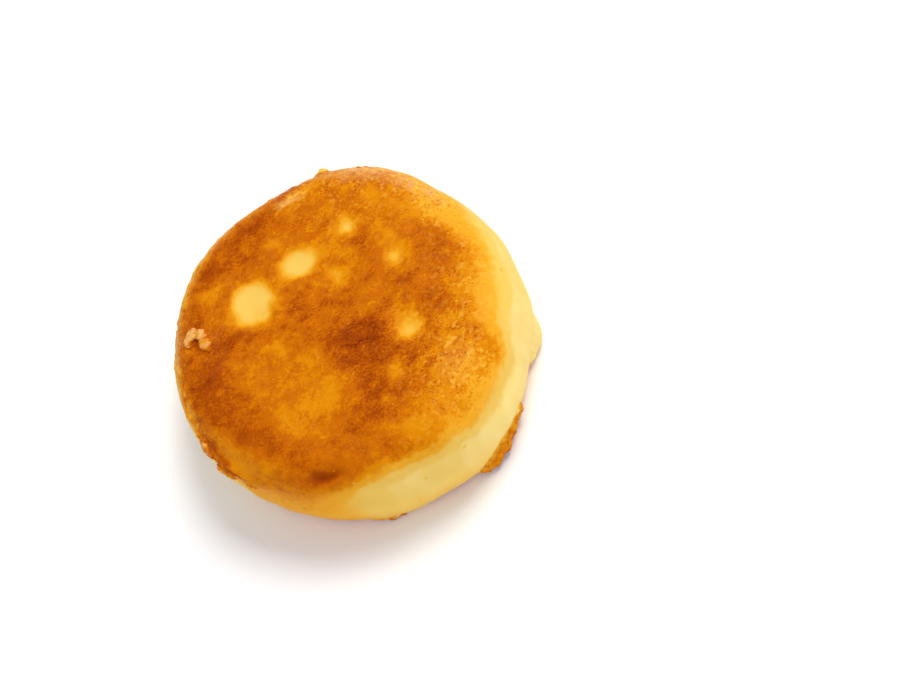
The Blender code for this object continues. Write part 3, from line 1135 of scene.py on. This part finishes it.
# The pale fleck colour is partly grains of curd and partly painted glints.
PALE_FLECK_AND_GLINT = (0.95, 0.50, 0.05)
print(f"The ramp has {len(RAMP)} colours")

# %% [markdown]
# A node tree written in code is mostly the same few nodes over and over, so each kind gets a
# helper that makes it in the group, links it, and hands back its output.

# %% Helpers for nodes
group = bpy.data.node_groups.new("mottled_crust", "ShaderNodeTree")


def link(source, target):
    """Links two sockets of one node tree."""
    target.id_data.links.new(source, target)


def noise_node(place, width, detail=2, curl=0):
    """A noise texture with blotches of one width in millimetres, curled into wisps if asked."""
    made = group.nodes.new("ShaderNodeTexNoise")
    made.inputs["Scale"].default_value = 1 / (width * MM)
    made.inputs["Detail"].default_value = detail
    made.inputs["Distortion"].default_value = curl
    link(place, made.inputs["Vector"])
    return made.outputs["Fac"]


def arithmetic(operation, first, second, third=None):
    """A Math node, whose inputs are sockets or plain numbers."""
    made = group.nodes.new("ShaderNodeMath")
    made.operation = operation
    for number, value in enumerate((first, second, third)):
        if isinstance(value, bpy.types.NodeSocket):
            link(value, made.inputs[number])
        elif value is not None:
            made.inputs[number].default_value = value
    return made.outputs["Value"]


times = partial(arithmetic, "MULTIPLY")
plus = partial(arithmetic, "ADD")
scaled = partial(arithmetic, "MULTIPLY_ADD")


def spread(value, low_end, high_end):
    """Maps a value between two ends onto 0 to 1."""
    made = group.nodes.new("ShaderNodeMapRange")
    made.inputs["From Min"].default_value = low_end
    made.inputs["From Max"].default_value = high_end
    link(value, made.inputs["Value"])
    return made.outputs["Result"]


def mixed(share, first, second):
    """Mixes two colours, the second of them plain, by a share from 0 to 1."""
    made = group.nodes.new("ShaderNodeMix")
    made.data_type = "RGBA"
    link(share, made.inputs[0])
    link(first, made.inputs[6])
    made.inputs[7].default_value = (*second, 1)
    return made.outputs[2]


# %% [markdown]
# The noises are stretched a little in the direction in which the syrnik was turned in the pan.

# %% Sockets and noises of the group
for name, start in (("Browning", 0.6), ("Bloom_And_Sheen", 0.0), ("Smoothness", 0.0)):
    socket = group.interface.new_socket(name, in_out="INPUT", socket_type="NodeSocketFloat")
    socket.default_value = start
for name, kind in (("Colour", "NodeSocketColor"), ("Roughness", "NodeSocketFloat"),
                   ("Height", "NodeSocketFloat")):
    group.interface.new_socket(name, in_out="OUTPUT", socket_type=kind)
group_in = group.nodes.new("NodeGroupInput")
group_out = group.nodes.new("NodeGroupOutput")
brown = group_in.outputs["Browning"]
place = group.nodes.new("ShaderNodeTexCoord").outputs["Object"]

smear = group.nodes.new("ShaderNodeMapping")
smear.inputs["Rotation"].default_value = (0, 0, math.radians(50))
smear.inputs["Scale"].default_value = (0.7, 1, 1)
link(place, smear.inputs["Vector"])
smeared = smear.outputs["Vector"]

blotch = noise_node(smeared, 2.2)
mottle = noise_node(smeared, 0.8, 3, 1.5)
grain = noise_node(smeared, 0.34, 2, 0.8)
print(f"The group has {len(group.interface.items_tree)} sockets")

# %% [markdown]
# The mottling swings the browning up and down. It is strongest where the crust is deep brown,
# it is nothing on bare curd, and smooth fields and the bloom and painted sheen change it too.
# Dark pepper, the scorched tips of the roughest crust, is added where the bloom and sheen are.

# %% Mottle the browning
crust_mask = spread(brown, 0.12, 0.4)
deep = spread(brown, 0.42, 0.72)
swing = plus(scaled(blotch, 0.4, -0.2), scaled(mottle, 0.4, -0.2))
fine = times(scaled(grain, 0.42, -0.21), scaled(deep, 0.9, 0.25))
swing = plus(swing, fine)
bloom_and_sheen = times(group_in.outputs["Bloom_And_Sheen"], crust_mask)
uneven = plus(scaled(deep, 0.5, 0.55), bloom_and_sheen)
swing = times(times(swing, uneven), crust_mask)
grainy = arithmetic("SUBTRACT", 1.0, group_in.outputs["Smoothness"])
swing = times(swing, grainy)
mottled = plus(brown, swing)
pepper = spread(noise_node(place, 0.45, 1, 1), 0.58, 0.68)
pepper = times(pepper, spread(bloom_and_sheen, 0.15, 0.6))
mottled = scaled(pepper, 0.4, mottled)
print(f"{len(group.nodes)} nodes so far")

# %% [markdown]
# The mottled value picks the colour from the ramp. Over it comes the peach haze of the rims,
# partly pale crust and partly painted sheen, and then pale flecks, partly grains of curd and
# partly painted glints, which are also a little raised.

# %% Colour, roughness and height
ramp = group.nodes.new("ShaderNodeValToRGB")
ramp.color_ramp.interpolation = "EASE"
while len(ramp.color_ramp.elements) < len(RAMP):
    ramp.color_ramp.elements.new(0.5)
for element, (position, colour) in zip(ramp.color_ramp.elements, RAMP):
    element.position = position
    element.color = (*colour, 1)
link(mottled, ramp.inputs["Fac"])

# The peach haze is partly pale crust and partly painted sheen on rims and raised tops.
haze_and_sheen = times(spread(bloom_and_sheen, 0.35, 1.0), scaled(mottle, 3.6, -0.8))
with_haze_and_sheen = mixed(haze_and_sheen, ramp.outputs["Color"], PEACH_BLOOM_AND_SHEEN)
# Pale flecks: partly grains of curd, partly painted glints of fat on the bumps.
fleck_and_glint = spread(noise_node(place, 1.0, 1), 0.53, 0.64)
fleck_and_glint = times(fleck_and_glint, spread(blotch, 0.40, 0.55))
fleck_and_glint = times(fleck_and_glint, times(bloom_and_sheen, 1.7))
fleck_and_glint = times(fleck_and_glint, arithmetic("SUBTRACT", 1.0, deep))
with_flecks_and_glints = mixed(fleck_and_glint, with_haze_and_sheen, PALE_FLECK_AND_GLINT)
link(with_flecks_and_glints, group_out.inputs["Colour"])
rough = scaled(crust_mask, -0.14, 0.54)
rough = plus(rough, scaled(mottle, 0.3, -0.15))
link(rough, group_out.inputs["Roughness"])
height = scaled(fleck_and_glint, 0.4, plus(mottle, grain))
height = times(height, crust_mask)
link(times(height, grainy), group_out.inputs["Height"])
print(f"The group has {len(group.nodes)} nodes")

# %% [markdown]
# The material itself reads the three values from the mesh, and lets a little light into the
# surface, because curd is translucent. Most of the oil has soaked in, so only a trace of gloss
# is left.

# %% The fried curd material
BUMP_STRENGTH, BUMP_DEPTH = 0.5, 0.08
TRANSLUCENCY, GLOW_REACH, GLOW_COLOURS = 0.12, 1.2, (1, 0.5, 0.2)
GLOSS = 0.03

fried = bpy.data.materials.new("fried_curd")
fried.use_nodes = True
tree = fried.node_tree
shader = tree.nodes["Principled BSDF"]
mottled_crust = tree.nodes.new("ShaderNodeGroup")
mottled_crust.node_tree = group
for name in ("Browning", "Bloom_And_Sheen", "Smoothness"):
    read = tree.nodes.new("ShaderNodeAttribute")
    read.attribute_name = name.lower()
    link(read.outputs["Fac"], mottled_crust.inputs[name])
link(mottled_crust.outputs["Colour"], shader.inputs["Base Color"])
link(mottled_crust.outputs["Roughness"], shader.inputs["Roughness"])
bump = tree.nodes.new("ShaderNodeBump")
bump.inputs["Strength"].default_value = BUMP_STRENGTH
bump.inputs["Distance"].default_value = BUMP_DEPTH * MM
link(mottled_crust.outputs["Height"], bump.inputs["Height"])
link(bump.outputs["Normal"], shader.inputs["Normal"])
shader.inputs["Subsurface Weight"].default_value = TRANSLUCENCY
shader.inputs["Subsurface Radius"].default_value = GLOW_COLOURS
shader.inputs["Subsurface Scale"].default_value = GLOW_REACH * MM
shader.inputs["Specular IOR Level"].default_value = GLOSS
print(f"The material has {len(tree.nodes)} nodes")

# %% [markdown]
# ## Finishing the pieces
#
# Every piece is kept within the box of the solid and gets the material and smooth shading.

# %% Finish the pieces
pieces = (syrnik, lip, sliver, nodule, *far_lips, rim_crags, curd_grain, curd_arc,
          shoulder_grains, crumbs)
for piece in pieces:
    move_points(piece, np.clip(points_of(piece), np.array(low) / MM, np.array(high) / MM))
    piece.data.materials.clear()
    piece.data.materials.append(fried)
only(*pieces)
bpy.ops.object.shade_smooth()
print(f"{len(pieces)} pieces share the material")

# %% [markdown]
# Food has no moving parts, so every piece rides on the one body that the frame has. The new
# syrnik stands for the plain solid, which is hidden from view.

# %% Join them to the frame
for piece in pieces:
    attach(piece, "root")
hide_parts("syrnik")
print(f"{len(pieces)} pieces ride on the root")
